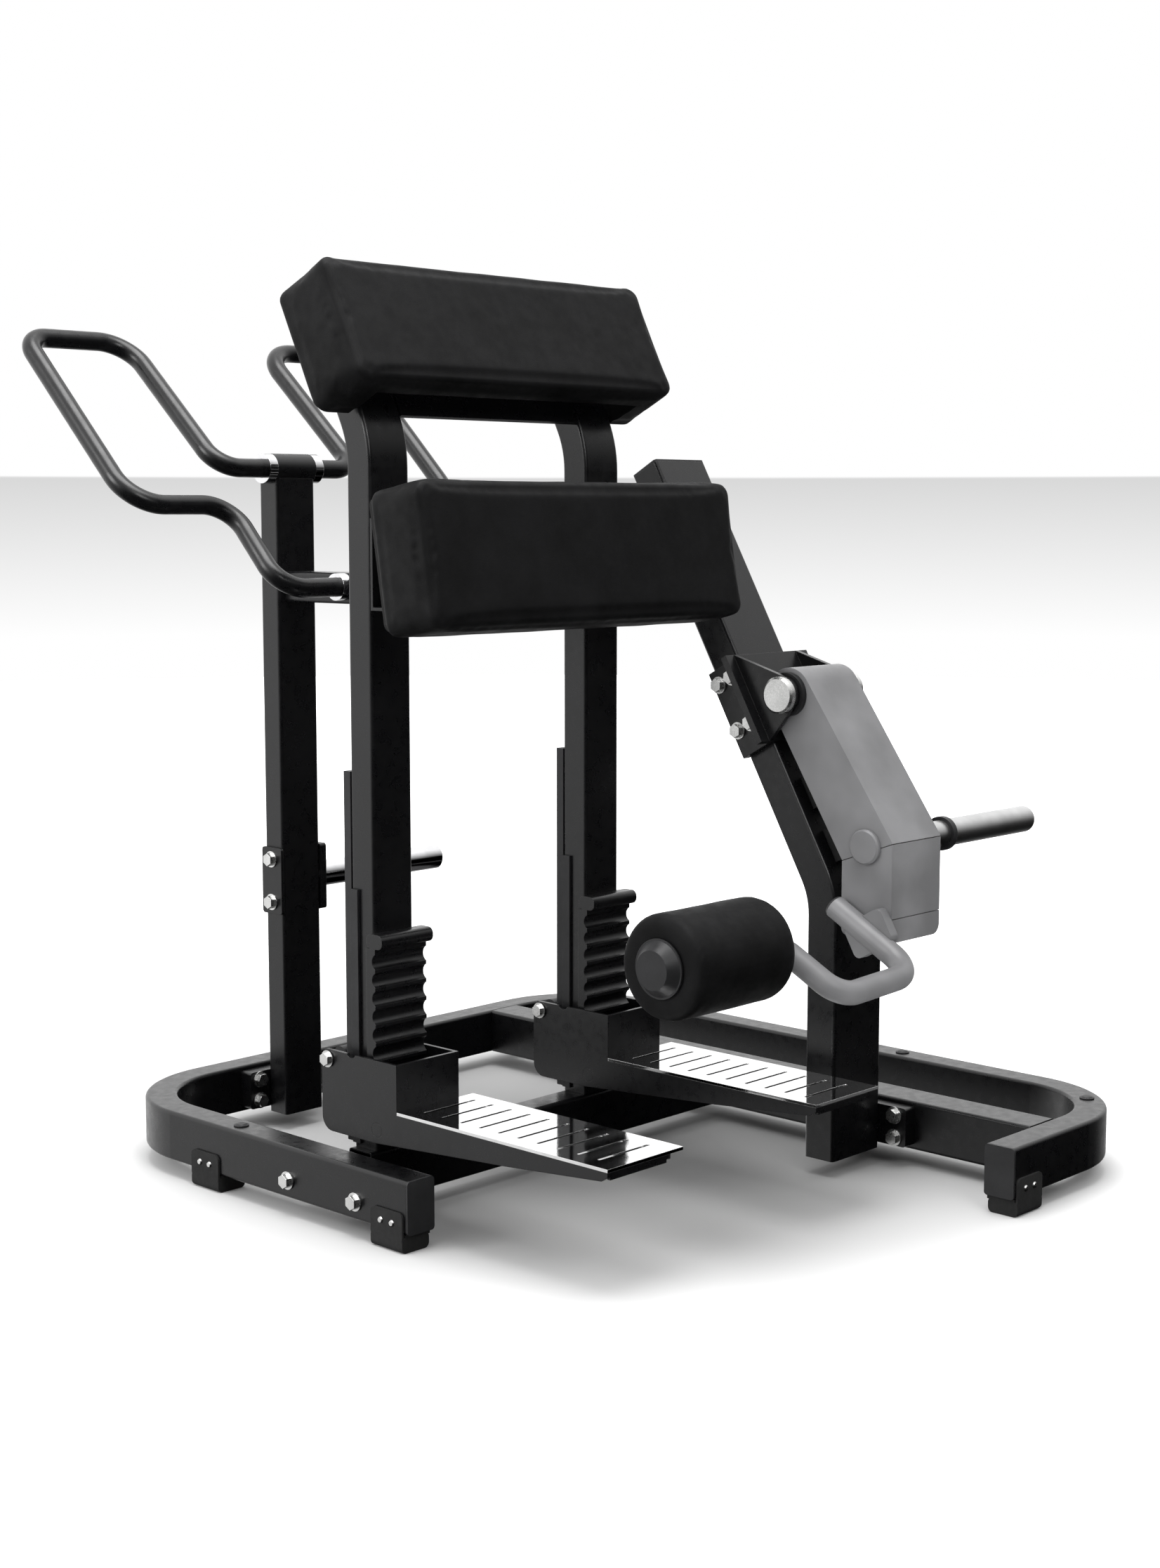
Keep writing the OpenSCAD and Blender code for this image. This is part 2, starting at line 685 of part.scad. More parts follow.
// Outline of the upper box, set in from its true faces by inset
module upper_outline(inset) {
    front_dir = unit(tangent(knee_front, pivot, barrel_r, -1) - knee_front);
    rear_dir = unit(tangent(knee_rear, pivot, barrel_r, 1) - knee_rear);
    over = inset > 0 ? 8 : 0;
    front_in = knee_front + inset * [front_dir[1], -front_dir[0]] - over * front_dir;
    rear_in = knee_rear + inset * [-rear_dir[1], rear_dir[0]] - over * rear_dir;
    r = barrel_r - inset;
    translate(pivot) circle(r);
    polygon([front_in, rear_in, tangent(rear_in, pivot, r, 1), pivot, tangent(front_in, pivot, r, -1)]);
}

module lever_upper() color(lever_grey) place() difference() {
    along_x(lever_x0, lever_x1) upper_outline(0);
    along_x(lever_x0 + lever_wall, lever_x1 - lever_wall) upper_outline(lever_wall);
    rod_x(lever_x0 - 1, lever_x1 + 1, pivot, bush_r);
    rod_x(lever_x0 - 1, lever_x1 + 1, horn_at, root_r);
}

module lever_lower() color(lever_grey) place() difference() {
    along_x(lever_x0, lever_x1) polygon([knee_front - [0, seam], knee_rear - [0, seam],
        [knee_rear[0], lever_low_z], [knee_front[0], lever_low_z]]);
    along_x(lever_x0 + lever_wall, lever_x1 - lever_wall)
        translate([knee_front[0] + lever_wall, lever_low_z - 1])
            square([knee_rear[0] - knee_front[0] - 2 * lever_wall, 200]);
    rod_x(lever_x0 - 1, lever_x1 + 1, horn_at, root_r);
}

// Closed bottom of the lever, with its two lower edges rounded
module lever_cap() color(lever_grey) place() difference() {
    h = lever_low_z - seam - lever_bottom_z;
    translate([post2_x, knee_front[0], lever_bottom_z + h]) rotate([-90, 0, 0])
        linear_extrude(knee_rear[0] - knee_front[0]) {
            translate([-lever_w / 2, 0]) square([lever_w, h - 18]);
            translate([-lever_w / 2 + 18, 0]) square([lever_w - 36, h]);
            for (x = [-1, 1]) translate([x * (lever_w / 2 - 18), h - 18]) circle(18);
        }
    translate([lever_x0 + lever_wall, knee_front[0] + lever_wall, lever_bottom_z + 18])
        cube([lever_w - 2 * lever_wall, knee_rear[0] - knee_front[0] - 2 * lever_wall, 60]);
}

module horn_boss() color(lever_grey) place()
    translate([lever_x0, horn_at[0], horn_at[1]]) rotate([0, -90, 0]) {
        cylinder(r = 30, h = 6);
        translate([0, 0, 6]) cylinder(r1 = 30, r2 = 27, h = 3);
    }

module lever_bushings() color(rubber_black) place() for (side = [-1, 1]) {
    wall_x = post2_x + side * lever_w / 2;
    difference() {
        union() {
            rod_x(min(wall_x, wall_x + side * 10), max(wall_x, wall_x + side * 10), pivot, 38);
            rod_x(min(wall_x, wall_x - side * 26), max(wall_x, wall_x - side * 26), pivot, bush_r);
        }
        rod_x(wall_x - 60, wall_x + 60, pivot, shaft_r + run_gap);
    }
}

module weight_horn() color(chrome) place() {
    seat = collar_x + collar_w + relief;
    rod_x(lever_x0, seat, horn_at, root_r);
    rod_x(seat, horn_end_x - 10, horn_at, horn_r);
    translate([horn_end_x - 10, horn_at[0], horn_at[1]]) rotate([0, 90, 0]) rotate_extrude()
        intersection() {
            translate([horn_r - 10, 0]) circle(10);
            translate([horn_r - 10, 0]) square([10, 10]);
        }
    rod_x(horn_end_x - 10, horn_end_x, horn_at, horn_r - 10);
}

// The collar that the inner plate rests against
module horn_stop() color(rubber_black) place() ring_x(collar_x, collar_x + collar_w, horn_at, 30, root_r);

// ---- Roller arm and roller ----

module roller_arm() color(lever_grey) place()
    round_tube([arm_top, arm_knee, arm_turn, arm_in, arm_tip], [50, 45, 40], arm_r);

// A saddle welded between the lever's side and the roller arm
module arm_clamp() color(lever_grey) place() difference() {
    dir = unit(arm_knee - arm_top);
    mid = arm_top + 78 * dir;
    turn = atan2(dir[2], -dir[1]);
    translate([lever_x0, mid[1], mid[2]]) rotate([turn + 180, 0, 0]) rotate([0, -90, 0])
        linear_extrude(arm_r) rounded(62, 86, 12);
    multmatrix([
        [1, 0, 0, arm_top[0]],
        [0, -dir[2], dir[1], arm_top[1]],
        [0, dir[1], dir[2], arm_top[2]],
        [0, 0, 0, 1]
    ]) translate([0, 0, -100]) cylinder(r = arm_r, h = 400);
}

// Closure of the arm's upper end
module arm_end_cap() color(rubber_black) place() {
    dir = unit(arm_knee - arm_top);
    translate(arm_top) rotate([atan2(dir[2], dir[1]) + 90, 0, 0]) cylinder(r1 = arm_r, r2 = arm_r - 2, h = 4);
}

module roller_pad() color(pad_black) place()
    ring_x(-roller_len / 2 + 1, roller_len / 2 - 1, roller_at, roller_r, 30);

module roller_core() color(rubber_black) place()
    ring_x(-roller_len / 2 + 1, roller_len / 2 - 1, roller_at, 30, arm_r + run_gap);

// A raised plug on the roller's free end, and a ring round the arm at the other
module roller_caps() color(rubber_black) place() {
    end = roller_len / 2 - 1;
    translate([-end, roller_at[0], roller_at[1]]) rotate([0, -90, 0]) {
        cylinder(r = 47, h = 3);
        translate([0, 0, 3]) cylinder(r1 = 44, r2 = 31, h = 16);
    }
    difference() {
        translate([end, roller_at[0], roller_at[1]]) rotate([0, 90, 0]) cylinder(r1 = 47, r2 = 42, h = 6);
        rod_x(0, roller_len, roller_at, 25);
    }
}

// ---- Foot platforms ----

module platform_at(side) translate([side * upright_x, 0, 0]) children();

module axle(side) platform_at(side) {
    rod_x(-carriage_w / 2 - 1, carriage_w / 2 + 1, axle_at, axle_r);
    for (s = [-1, 1]) translate([s * (carriage_w / 2 + 1), axle_at[0], axle_at[1]]) rotate([0, s * 90, 0]) {
        cylinder(r = 14, h = 2);
        translate([0, 0, 2]) cylinder(r = 11, h = 7, $fn = 6);
    }
}
module left_axle() color(chrome) place() axle(-1);
module right_axle() color(chrome) place() axle(1);

module guide_roller(side) platform_at(side)
    ring_x(-upright_w / 2, upright_w / 2, axle_at, guide_roller_r, axle_r + run_gap);
module left_guide_roller() color(rubber_black) place() guide_roller(-1);
module right_guide_roller() color(rubber_black) place() guide_roller(1);

// Side outline of the carriage: a box round the upright, then a tapering arm under the foot plate
module carriage_outline() {
    low_z = 142;
    difference() {
        union() {
            polygon([[carriage_rear - 24, low_z], [20, low_z], [-279, 164], [step_front + 12, 182],
                [step_front, 190], [step_front, step_z - step_t], [carriage_front, step_z - step_t],
                [carriage_front, carriage_z1], [carriage_rear - 10, carriage_z1],
                [carriage_rear, carriage_z1 - 10], [carriage_rear, low_z + 24]]);
            translate([carriage_rear - 24, low_z + 24]) circle(24);
        }
        translate([75, carriage_z1 + 6]) circle(12);
    }
}

module carriage(side) platform_at(side) difference() {
    union() {
        for (x = [-carriage_w / 2, carriage_w / 2 - plate_t]) along_x(x, x + plate_t) carriage_outline();
        translate([-carriage_w / 2 + plate_t, carriage_front, step_z - step_t])
            cube([carriage_w - 2 * plate_t, plate_t, carriage_z1 - step_z + step_t]);
        translate([-carriage_w / 2 + plate_t, step_front, step_z - step_t - 12])
            cube([carriage_w - 2 * plate_t, plate_t, 12]);
    }
    rod_x(-100, 100, axle_at, axle_r + run_gap);
    rod_x(-100, 100, lock_at, lock_r);
}
module left_carriage() color(frame_black) place() carriage(-1);
module right_carriage() color(frame_black) place() carriage(1);

// Foot plate with slots across it, flush with the carriage's left side
module foot_plate(side) platform_at(side) translate([-carriage_w / 2, 0, step_z - step_t]) difference() {
    translate([0, step_front, 0]) cube([step_w, carriage_front - step_front, step_t]);
    for (i = [0:slot_count - 1]) translate([28, carriage_front - 34 - i * slot_pitch, -1]) {
        translate([3, -3, 0]) cube([step_w - 62, 6, step_t + 2]);
        for (x = [3, step_w - 59]) translate([x, 0, 0]) cylinder(r = 3, h = step_t + 2);
    }
}
module left_foot_plate() color(chrome) place() foot_plate(-1);
module right_foot_plate() color(chrome) place() foot_plate(1);

module lock_bar(side) platform_at(side) rod_x(-carriage_w / 2, carriage_w / 2, lock_at, lock_r);
module left_lock_bar() color(frame_black) place() lock_bar(-1);
module right_lock_bar() color(frame_black) place() lock_bar(1);

// Rubber buttons under the front edge of the foot plate
module bumpers(side) platform_at(side)
    for (x = [22 - carriage_w / 2, carriage_w / 2 - 22, carriage_w / 2 + 16])
        translate([x, step_front + 22, step_z - step_t - 14]) cylinder(r = 8, h = 14);
module left_bumpers() color(rubber_black) place() bumpers(-1);
module right_bumpers() color(rubber_black) place() bumpers(1);

// ---- Output ----

base_tube();
inner_rail();
cross_bar();
tube_end_caps();
base_feet();
frame_bolts();
left_upright();
right_upright();
top_cross_plate();
mid_cross_bar();
tie_bar();
rear_post();
rear_post_flange();
handle_hub();
left_handle();
right_handle();
handle_collars();
storage_horn();
storage_clamp();
right_post();
post_link();
right_post_flange();
pivot_bracket();
bracket_bolts();
pivot_shaft();
pivot_caps();
lever_stops();
upper_pad();
upper_pad_board();
lower_pad();
lower_pad_board();
pad_brackets();
left_rack();
right_rack();
guide_strips();
lever_upper();
lever_lower();
lever_cap();
horn_boss();
lever_bushings();
weight_horn();
horn_stop();
roller_arm();
arm_clamp();
arm_end_cap();
roller_pad();
roller_core();
roller_caps();
left_axle();
left_guide_roller();
left_carriage();
left_foot_plate();
left_lock_bar();
left_bumpers();
right_axle();
right_guide_roller();
right_carriage();
right_foot_plate();
right_lock_bar();
right_bumpers();
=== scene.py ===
# Visual model of a standing leg curl machine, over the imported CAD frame. All sizes in metres.
import bpy
import bmesh
import json
import math
from mathutils import Vector, Matrix, noise


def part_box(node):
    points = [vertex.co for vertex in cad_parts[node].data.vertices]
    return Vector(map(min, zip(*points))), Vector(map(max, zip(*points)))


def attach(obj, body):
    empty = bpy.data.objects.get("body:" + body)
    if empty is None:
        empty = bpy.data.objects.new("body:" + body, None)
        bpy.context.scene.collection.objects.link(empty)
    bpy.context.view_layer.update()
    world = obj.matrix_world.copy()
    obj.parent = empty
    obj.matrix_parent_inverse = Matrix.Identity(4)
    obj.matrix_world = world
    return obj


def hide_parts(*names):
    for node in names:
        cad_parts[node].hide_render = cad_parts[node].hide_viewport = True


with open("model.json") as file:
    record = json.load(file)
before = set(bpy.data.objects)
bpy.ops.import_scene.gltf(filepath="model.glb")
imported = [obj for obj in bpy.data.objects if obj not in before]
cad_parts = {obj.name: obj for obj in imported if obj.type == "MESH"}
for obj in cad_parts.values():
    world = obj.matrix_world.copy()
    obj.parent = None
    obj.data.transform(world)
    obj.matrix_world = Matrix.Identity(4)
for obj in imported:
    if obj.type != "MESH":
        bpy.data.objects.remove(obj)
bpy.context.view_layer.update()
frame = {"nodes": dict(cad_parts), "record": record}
NODES = frame["nodes"]
scene = bpy.context.scene


# ---- Camera: to the front left of the machine, looking slightly down ----

EYE = (-2.9125, -2.732, 1.150)
LOOK_DOWN_DEG = 6.89
HEADING_DEG = 46.58
LENS_MM = 51.72
SENSOR_MM = 36


def make_camera():
    data = bpy.data.cameras.new("camera")
    cam = bpy.data.objects.new("camera", data)
    scene.collection.objects.link(cam)
    cam.location = EYE
    cam.rotation_euler = (math.radians(90 - LOOK_DOWN_DEG), 0, math.radians(-HEADING_DEG))
    data.lens = LENS_MM
    data.sensor_width = SENSOR_MM
    data.clip_end = 100
    scene.camera = cam


make_camera()
scene.view_settings.view_transform = "Standard"


# ---- Materials ----

class Mat:
    """A material being built: its nodes, its links and its shader."""

    def __init__(self, name, color, rough, metallic=0.0, specular=0.5):
        self.mat = bpy.data.materials.new(name)
        self.mat.use_nodes = True
        self.tree = self.mat.node_tree
        self.bsdf = self.tree.nodes["Principled BSDF"]
        self.coord = self.node("ShaderNodeTexCoord").outputs["Object"]
        self.set("Base Color", (*color, 1))
        self.set("Roughness", rough)
        self.set("Metallic", metallic)
        self.set("Specular IOR Level", specular)
        self.color = color
        self.rough = rough

    def set(self, socket, value):
        self.bsdf.inputs[socket].default_value = value

    def node(self, kind, **inputs):
        n = self.tree.nodes.new(kind)
        for key, value in inputs.items():
            n.inputs[key.replace("_", " ")].default_value = value
        return n

    def link(self, out, into):
        self.tree.links.new(out, into)

    def noise(self, scale, detail=3.0, stretch=(1, 1, 1)):
        n = self.node("ShaderNodeTexNoise", Scale=scale, Detail=detail)
        if stretch == (1, 1, 1):
            self.link(self.coord, n.inputs["Vector"])
        else:
            m = self.node("ShaderNodeMapping", Scale=stretch)
            self.link(self.coord, m.inputs["Vector"])
            self.link(m.outputs["Vector"], n.inputs["Vector"])
        return n.outputs["Fac"]

    def ramp(self, fac, low, high, a=0.35, b=0.65):
        r = self.node("ShaderNodeValToRGB")
        r.color_ramp.elements[0].position = a
        r.color_ramp.elements[1].position = b
        r.color_ramp.elements[0].color = low
        r.color_ramp.elements[1].color = high
        self.link(fac, r.inputs["Fac"])
        return r.outputs["Color"]

    def vary_color(self, fac, low, high):
        a = tuple(c * low for c in self.color) + (1,)
        b = tuple(c * high for c in self.color) + (1,)
        out = self.ramp(fac, a, b)
        self.link(out, self.bsdf.inputs["Base Color"])
        return out

    def vary_rough(self, fac, spread):
        a = self.rough - spread
        b = self.rough + spread
        self.link(self.ramp(fac, (a, a, a, 1), (b, b, b, 1)), self.bsdf.inputs["Roughness"])

    def bump(self, height, strength, distance=0.0005, edge=0.0):
        b = self.node("ShaderNodeBump", Strength=strength, Distance=distance)
        self.link(height, b.inputs["Height"])
        if edge:
            e = self.node("ShaderNodeBevel", Radius=edge)
            e.samples = 3
            self.link(e.outputs["Normal"], b.inputs["Normal"])
        self.link(b.outputs["Normal"], self.bsdf.inputs["Normal"])


def powder_coat(name, color, rough, edge=0.0015, specular=0.5):
    """Baked powder coat: orange-peel bump, cloudy gloss and slightly polished edges."""
    m = Mat(name, color, rough, specular=specular)
    m.vary_color(m.noise(9, 2), 0.85, 1.18)
    m.vary_rough(m.noise(60, 4), 0.045)
    m.bump(m.noise(520, 2), 0.04, 0.0003, edge)
    return m.mat


def metal(name, color, rough, stretch=(1, 1, 1), edge=0.001):
    """Bright or plated steel, with fine marks along its grain."""
    m = Mat(name, color, rough, metallic=1.0)
    m.vary_color(m.noise(25, 3), 0.9, 1.05)
    m.vary_rough(m.noise(300, 3, stretch), min(0.05, rough * 0.4))
    m.bump(m.noise(900, 2, stretch), 0.04, 0.0002, edge)
    return m.mat


def vinyl(name, color, rough):
    """Grained upholstery vinyl: small cells with creases between, and a faint cloudiness."""
    m = Mat(name, color, rough, specular=0.14)
    m.vary_color(m.noise(14, 4), 0.7, 1.35)
    m.vary_rough(m.noise(40, 3), 0.06)
    cells = m.node("ShaderNodeTexVoronoi", Scale=560.0)
    cells.feature = "DISTANCE_TO_EDGE"
    m.link(m.coord, cells.inputs["Vector"])
    crease = m.ramp(cells.outputs["Distance"], (0, 0, 0, 1), (1, 1, 1, 1), 0.0, 0.25)
    mix = m.node("ShaderNodeMath")
    mix.operation = "MULTIPLY_ADD"
    m.link(m.noise(90, 4), mix.inputs[0])
    mix.inputs[1].default_value = 0.9
    m.link(crease, mix.inputs[2])
    m.bump(mix.outputs[0], 0.22, 0.0005)
    return m.mat


def moulded(name, color, rough, edge=0.001):
    """Moulded plastic or rubber: a fine matt texture."""
    m = Mat(name, color, rough, specular=0.4)
    m.vary_color(m.noise(20, 3), 0.85, 1.2)
    m.vary_rough(m.noise(120, 3), 0.05)
    m.bump(m.noise(1300, 3), 0.12, 0.0003, edge)
    return m.mat


def covered_board(name):
    """Plywood back board under stretched black cover cloth."""
    m = Mat(name, (0.014, 0.014, 0.014), 0.9, specular=0.2)
    w = m.node("ShaderNodeTexWave", Scale=420.0, Distortion=0.6)
    m.link(m.coord, w.inputs["Vector"])
    v = m.node("ShaderNodeTexWave", Scale=420.0, Distortion=0.6)
    v.bands_direction = "Z"
    m.link(m.coord, v.inputs["Vector"])
    mix = m.node("ShaderNodeMath")
    mix.operation = "MULTIPLY"
    m.link(w.outputs["Fac"], mix.inputs[0])
    m.link(v.outputs["Fac"], mix.inputs[1])
    m.vary_color(mix.outputs[0], 0.8, 1.5)
    m.bump(mix.outputs[0], 0.4, 0.0004)
    return m.mat


MATS = {
    "frame_black": powder_coat("frame_powder_coat", (0.003, 0.003, 0.0035), 0.30),
    "end_cap_plastic": moulded("end_cap_plastic", (0.016, 0.016, 0.017), 0.5),
    "foot_rubber": moulded("foot_rubber", (0.012, 0.012, 0.012), 0.75),
    "zinc_bolts": metal("zinc_plate", (0.78, 0.78, 0.77), 0.3),
    "bright_steel": metal("chrome_plate", (0.86, 0.86, 0.87), 0.09, (1, 30, 30)),
    "pad_vinyl": vinyl("pad_vinyl", (0.003, 0.003, 0.0033), 0.60),
    "pad_board": covered_board("pad_board_cover"),
    "lever_grey": powder_coat("lever_powder_coat", (0.15, 0.15, 0.154), 0.42),
    "horn_steel": metal("horn_satin_steel", (0.62, 0.62, 0.62), 0.34, (1, 25, 25)),
    "black_plastic": moulded("black_plastic", (0.010, 0.010, 0.011), 0.42),
    "step_steel": metal("step_plate_polished", (0.94, 0.94, 0.94), 0.045, edge=0.0008),
}


def dress(obj, slot_name):
    """Gives a piece one material on every slot."""
    if not obj.data.materials:
        obj.data.materials.append(None)
    for s in obj.material_slots:
        s.material = MATS[slot_name]


for part in frame["record"]["subparts"]:
    dress(NODES[part["node"]], part["material_slot"])


# ---- Mesh helpers ----

SIM_FRAMES = 15

def new_object(name, bm, slot_name):
    mesh = bpy.data.meshes.new(name)
    bm.to_mesh(mesh)
    bm.free()
    for p in mesh.polygons:
        p.use_smooth = True
    obj = bpy.data.objects.new(name, mesh)
    scene.collection.objects.link(obj)
    dress(obj, slot_name)
    return obj


def bake(obj):
    """Replaces the object's mesh by what its modifiers make, and removes them."""
    graph = bpy.context.evaluated_depsgraph_get()
    mesh = bpy.data.meshes.new_from_object(obj.evaluated_get(graph))
    old = obj.data
    obj.modifiers.clear()
    obj.data = mesh
    bpy.data.meshes.remove(old)
    for p in obj.data.polygons:
        p.use_smooth = True


def rounded_outline(w, h, r, steps):
    points = []
    for cx, cy, a0 in ((1, 1, 0), (-1, 1, 90), (-1, -1, 180), (1, -1, 270)):
        for i in range(steps + 1):
            a = math.radians(a0 + 90 * i / steps)
            points.append((cx * (w / 2 - r) + r * math.cos(a), cy * (h / 2 - r) + r * math.sin(a)))
    return points


def lofted(rings):
    """A closed form through rings of equal length, with flat ends."""
    bm = bmesh.new()
    loops = [[bm.verts.new(p) for p in ring] for ring in rings]
    n = len(loops[0])
    for a, b in zip(loops, loops[1:]):
        for i in range(n):
            bm.faces.new((a[i], a[(i + 1) % n], b[(i + 1) % n], b[i]))
    bm.faces.new(list(reversed(loops[0])))
    bm.faces.new(loops[-1])
    bmesh.ops.recalc_face_normals(bm, faces=bm.faces)
    return bm


def inflate(obj, voxel, pressure, cap, held):
    """Swells a foam form under its cover with a cloth simulation. held(co) marks what is glued down."""
    mod = obj.modifiers.new("remesh", "REMESH")
    mod.mode = "VOXEL"
    mod.voxel_size = voxel
    bake(obj)
    start = [v.co.copy() for v in obj.data.vertices]
    group = obj.vertex_groups.new(name="held")
    group.add([i for i, c in enumerate(start) if held(c)], 1.0, "REPLACE")
    cloth = obj.modifiers.new("cloth", "CLOTH")
    s = cloth.settings
    s.quality = 4
    s.mass = 0.4
    s.tension_stiffness = 12
    s.compression_stiffness = 12
    s.bending_stiffness = 4
    s.use_pressure = True
    s.uniform_pressure_force = pressure
    s.effector_weights.gravity = 0
    s.vertex_group_mass = "held"
    for f in range(1, SIM_FRAMES + 1):
        scene.frame_set(f)
    bake(obj)
    scene.frame_set(1)
    obj.vertex_groups.clear()
    for v, c in zip(obj.data.vertices, start):
        move = v.co - c
        if move.length > cap:
            v.co = c + move * (cap / move.length)
    sub = obj.modifiers.new("sub", "SUBSURF")
    sub.levels = sub.render_levels = 1
    bake(obj)


def ripple(obj, size, depth):
    """Slow unevenness of a hand-stretched cover."""
    moves = [v.normal * (noise.noise(v.co / size) * depth) for v in obj.data.vertices]
    for v, move in zip(obj.data.vertices, moves):
        v.co += move


def place_tilted(obj, node, tilt):
    """Puts a piece made round the origin at the middle of a CAD node, leaning back by tilt."""
    low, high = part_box(node)
    mid = (Vector(low) + Vector(high)) / 2
    obj.data.transform(Matrix.Translation(mid) @ Matrix.Rotation(math.radians(-tilt), 4, "X"))


# ---- Pads ----

PAD_W = 0.729
PAD_CORNER_R = 0.022
PAD_VOXEL = 0.005
PAD_PRESSURE = 3.0
PAD_SWELL = 0.003
GLUED_DEPTH = 0.02
LOWER_TILT_DEG = 9.5
UPPER_TILT_DEG = 26.4
# The sewn front edge: depth behind the front face, and how far the outline is drawn in there
FRONT_EDGE = ((0.0, 0.0065), (0.0012, 0.003), (0.0035, 0.001), (0.007, 0.0))
BACK_EDGE = 0.003
# The hollow in the back of the upper pad, which the tops of the uprights stand in
UPRIGHT_POCKET = ((-0.300, -0.019, -0.2), (0.300, 0.2, 0.062))


def pad_form(name, w, h, t, r):
    """Foam block in its cover: rounded corners, a tight front edge and a square back. Front is -Y."""
    rings = []
    for depth, inset in FRONT_EDGE:
        ring = rounded_outline(w - 2 * inset, h - 2 * inset, r - inset * 0.6, 8)
        rings.append([(x, -t / 2 + depth, z) for x, z in ring])
    for y in (0.0, t / 2 - BACK_EDGE, t / 2):
        inset = BACK_EDGE if y == t / 2 else 0.0
        ring = rounded_outline(w - 2 * inset, h - 2 * inset, r - inset, 8)
        rings.append([(x, y, z) for x, z in ring])
    return new_object(name, lofted(rings), "pad_vinyl")


def cut_box(obj, low, high):
    """Cuts the box between two corners out of a piece."""
    bm = bmesh.new()
    bmesh.ops.create_cube(bm, size=1.0)
    for v in bm.verts:
        v.co = Vector([low[i] if v.co[i] < 0 else high[i] for i in range(3)])
    mesh = bpy.data.meshes.new("cutter")
    bm.to_mesh(mesh)
    bm.free()
    cutter = bpy.data.objects.new("cutter", mesh)
    scene.collection.objects.link(cutter)
    mod = obj.modifiers.new("cut", "BOOLEAN")
    mod.operation = "DIFFERENCE"
    mod.object = cutter
    mod.solver = "EXACT"
    bake(obj)
    bpy.data.objects.remove(cutter)
    bpy.data.meshes.remove(mesh)


def make_pad(node, w, h, t, tilt, pocket=None):
    form = pad_form(node + "_cover", w, h, t, PAD_CORNER_R)
    inflate(form, PAD_VOXEL, PAD_PRESSURE, PAD_SWELL, lambda c: c.y > t / 2 - GLUED_DEPTH)
    ripple(form, 0.07, 0.0007)
    if pocket:
        cut_box(form, *pocket)
    place_tilted(form, node, tilt)
    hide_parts(node)
    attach(form, "frame")


make_pad("lower_pad", PAD_W, 0.228, 0.110, LOWER_TILT_DEG)
make_pad("upper_pad", PAD_W, 0.213, 0.120, UPPER_TILT_DEG, UPRIGHT_POCKET)


# ---- Roller ----

ROLLER_BORE_R = 0.030
ROLLER_EDGE_R = 0.016
ROLLER_STEPS = 72
ROLLER_EDGE_STEPS = 6

def make_roller():
    """The foam sleeve: a profile with rounded ends, turned round X."""
    low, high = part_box("roller_pad")
    mid = (Vector(low) + Vector(high)) / 2
    half = (high[0] - low[0]) / 2 - 0.001
    radius = (high[2] - low[2]) / 2 - 0.002
    profile = [(-half + 0.004, ROLLER_BORE_R), (-half + 0.001, ROLLER_BORE_R + 0.012), (-half, 0.052)]
    for i in range(ROLLER_EDGE_STEPS + 1):
        a = math.radians(90 * i / ROLLER_EDGE_STEPS)
        x = -half + ROLLER_EDGE_R - ROLLER_EDGE_R * math.cos(a)
        profile.append((x, radius - ROLLER_EDGE_R + ROLLER_EDGE_R * math.sin(a)))
    profile += [(-half / 2, radius), (0, radius)]
    full = profile + [(-x, r) for x, r in reversed(profile[:-1])]
    steps = ROLLER_STEPS
    bm = bmesh.new()
    loops = []
    for k in range(steps):
        a = 2 * math.pi * k / steps
        loops.append([bm.verts.new((x, r * math.cos(a), r * math.sin(a))) for x, r in full])
    for k in range(steps):
        a, b = loops[k], loops[(k + 1) % steps]
        n = len(full)
        for i in range(n):
            bm.faces.new((a[i], a[(i + 1) % n], b[(i + 1) % n], b[i]))
    bmesh.ops.recalc_face_normals(bm, faces=bm.faces)
    roller = new_object("roller_cover", bm, "pad_vinyl")
    inflate(roller, 0.006, 3.0, 0.004, lambda c: math.hypot(c.y, c.z) < 0.036)
    ripple(roller, 0.05, 0.0005)
    roller.data.transform(Matrix.Translation(mid))
    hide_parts("roller_pad")
    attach(roller, "roller")


make_roller()


# ---- Studio ----

FLOOR_R = 14.0
WALL_R = 12.0
WALL_LOW = -0.1
WALL_HIGH = 9.0
ROUND_STEPS = 96

def stage_piece(name, bm, mat):
    mesh = bpy.data.meshes.new(name)
    bm.to_mesh(mesh)
    bm.free()
    mesh.materials.append(mat)
    obj = bpy.data.objects.new(name, mesh)
    scene.collection.objects.link(obj)
    return obj


def floor_material():
    """White paper floor with a painted shadow: its colour darkens towards the middle under the machine,
    and it glows with painted light further out.
    """
    m = Mat("studio_floor", (0.93, 0.93, 0.93), 0.7, specular=0.1)
    spread = m.node("ShaderNodeMapping", Scale=(0.9, 0.75, 0))
    m.link(m.coord, spread.inputs["Vector"])
    reach = m.node("ShaderNodeVectorMath")
    reach.operation = "LENGTH"
    m.link(spread.outputs["Vector"], reach.inputs[0])
    # painted shadow: the base colour darkens towards the point under the machine
    shade = m.ramp(reach.outputs["Value"], (0.28, 0.28, 0.28, 1), (0.93, 0.93, 0.93, 1), 0.2, 0.95)
    m.link(shade, m.bsdf.inputs["Base Color"])
    m.set("Emission Color", (1, 1, 1, 1))
    # painted light: the floor glows more the further it is from the machine, none near it
    painted_glow_ramp = m.node("ShaderNodeMapRange")
    painted_glow_ramp.inputs["From Min"].default_value = 0.9
    painted_glow_ramp.inputs["From Max"].default_value = 3.0
    m.link(reach.outputs["Value"], painted_glow_ramp.inputs["Value"])
    m.link(painted_glow_ramp.outputs["Result"], m.bsdf.inputs["Emission Strength"])
    m.bump(m.noise(200, 2), 0.02, 0.0002)
    return m.mat


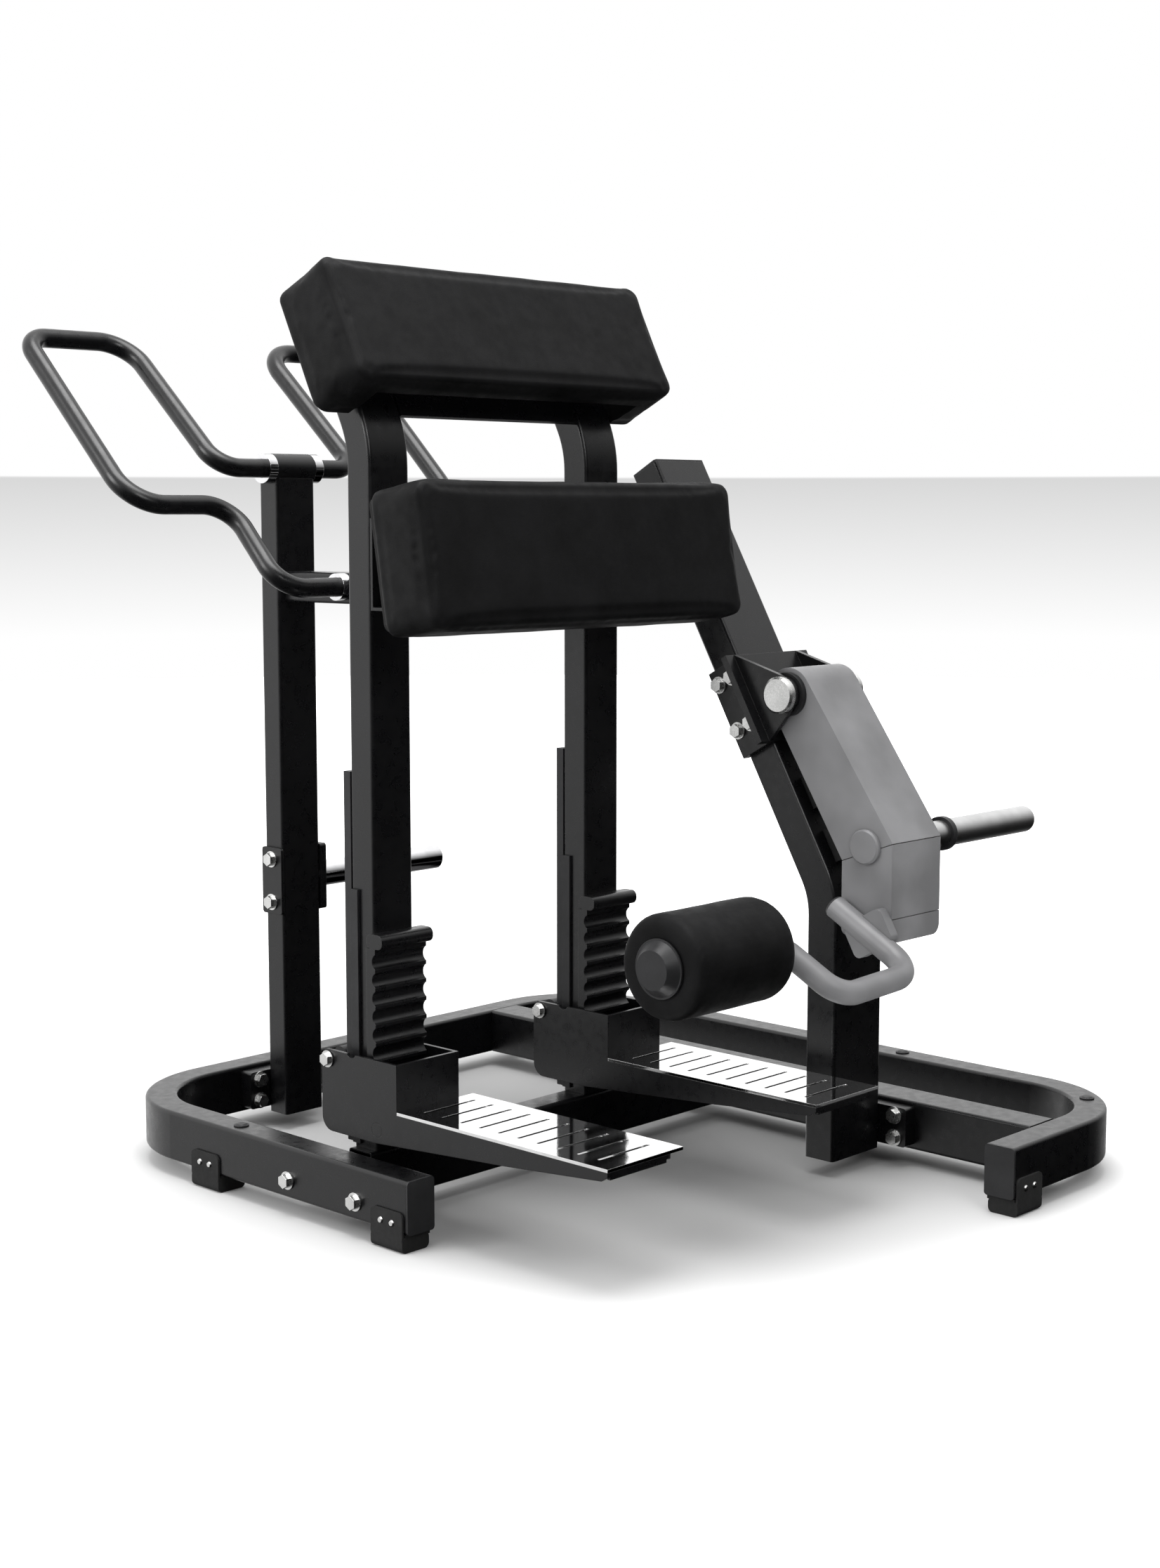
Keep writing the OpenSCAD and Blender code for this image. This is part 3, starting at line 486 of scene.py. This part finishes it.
def backdrop_material():
    """Glowing wall seen only by the camera: white above, a soft grey band of painted shade that fades
    into the white floor.
    """
    mat = bpy.data.materials.new("studio_wall")
    mat.use_nodes = True
    tree = mat.node_tree
    tree.nodes.clear()
    out = tree.nodes.new("ShaderNodeOutputMaterial")
    glow = tree.nodes.new("ShaderNodeEmission")
    coord = tree.nodes.new("ShaderNodeTexCoord")
    split = tree.nodes.new("ShaderNodeSeparateXYZ")
    ramp = tree.nodes.new("ShaderNodeValToRGB")
    scale = tree.nodes.new("ShaderNodeMath")
    scale.operation = "MULTIPLY"
    scale.inputs[1].default_value = 0.5
    tree.links.new(coord.outputs["Object"], split.inputs[0])
    tree.links.new(split.outputs["Z"], scale.inputs[0])
    tree.links.new(scale.outputs[0], ramp.inputs["Fac"])
    # painted shade: a grey band in the wall's glow, white below it and white above it
    e = ramp.color_ramp.elements
    e[0].position, e[0].color = 0.15, (1, 1, 1, 1)
    e[1].position, e[1].color = 0.69, (0.69, 0.69, 0.69, 1)
    top = e.new(0.696)
    top.color = (1, 1, 1, 1)
    tree.links.new(ramp.outputs["Color"], glow.inputs["Color"])
    tree.links.new(glow.outputs[0], out.inputs["Surface"])
    return mat


def make_stage():
    bm = bmesh.new()
    bmesh.ops.create_circle(bm, cap_ends=True, segments=ROUND_STEPS, radius=FLOOR_R)
    floor = stage_piece("floor", bm, floor_material())
    floor.visible_glossy = False
    bm = bmesh.new()
    for k in range(ROUND_STEPS):
        a = 2 * math.pi * k / ROUND_STEPS
        x, y = WALL_R * math.cos(a), WALL_R * math.sin(a)
        bm.verts.new((x, y, WALL_LOW))
        bm.verts.new((x, y, WALL_HIGH))
    bm.verts.ensure_lookup_table()
    for k in range(ROUND_STEPS):
        a, b = 2 * k, 2 * ((k + 1) % ROUND_STEPS)
        bm.faces.new((bm.verts[a], bm.verts[b], bm.verts[b + 1], bm.verts[a + 1]))
    wall = stage_piece("wall", bm, backdrop_material())
    wall.visible_diffuse = False
    wall.visible_glossy = False
    wall.visible_shadow = False
    wall.visible_transmission = False


make_stage()


def make_world():
    """Soft white surround: bright above and behind the machine, dark low at the front."""
    world = bpy.data.worlds.new("studio")
    scene.world = world
    world.use_nodes = True
    tree = world.node_tree
    back = tree.nodes["Background"]
    coord = tree.nodes.new("ShaderNodeTexCoord")
    dot = tree.nodes.new("ShaderNodeVectorMath")
    dot.operation = "DOT_PRODUCT"
    toward = Vector((0.05, 0.60, 0.80)).normalized()
    dot.inputs[1].default_value = toward
    ramp = tree.nodes.new("ShaderNodeMapRange")
    ramp.inputs["From Min"].default_value = -0.35
    ramp.inputs["From Max"].default_value = 0.5
    ramp.inputs["To Min"].default_value = 0.0
    ramp.inputs["To Max"].default_value = 1.25
    tree.links.new(coord.outputs["Generated"], dot.inputs[0])
    tree.links.new(dot.outputs["Value"], ramp.inputs["Value"])
    tree.links.new(ramp.outputs["Result"], back.inputs["Strength"])
    back.inputs["Color"].default_value = (1, 1, 1, 1)


def area_light(name, at, target, size, power):
    """A round soft light at one point, aimed at another."""
    data = bpy.data.lights.new(name, "AREA")
    data.shape = "DISK"
    data.size = size
    data.energy = power
    obj = bpy.data.objects.new(name, data)
    scene.collection.objects.link(obj)
    obj.location = at
    obj.rotation_euler = (Vector(target) - Vector(at)).to_track_quat("-Z", "Y").to_euler()


make_world()
area_light("top", (-0.4, -0.3, 4.5), (0, 0, 0.6), 3.0, 150)
area_light("left", (-4.0, 1.0, 2.6), (0, 0, 0.9), 2.0, 60)
area_light("key", (-1.5, -3.5, 3.0), (0.2, -0.3, 0.6), 1.6, 35)
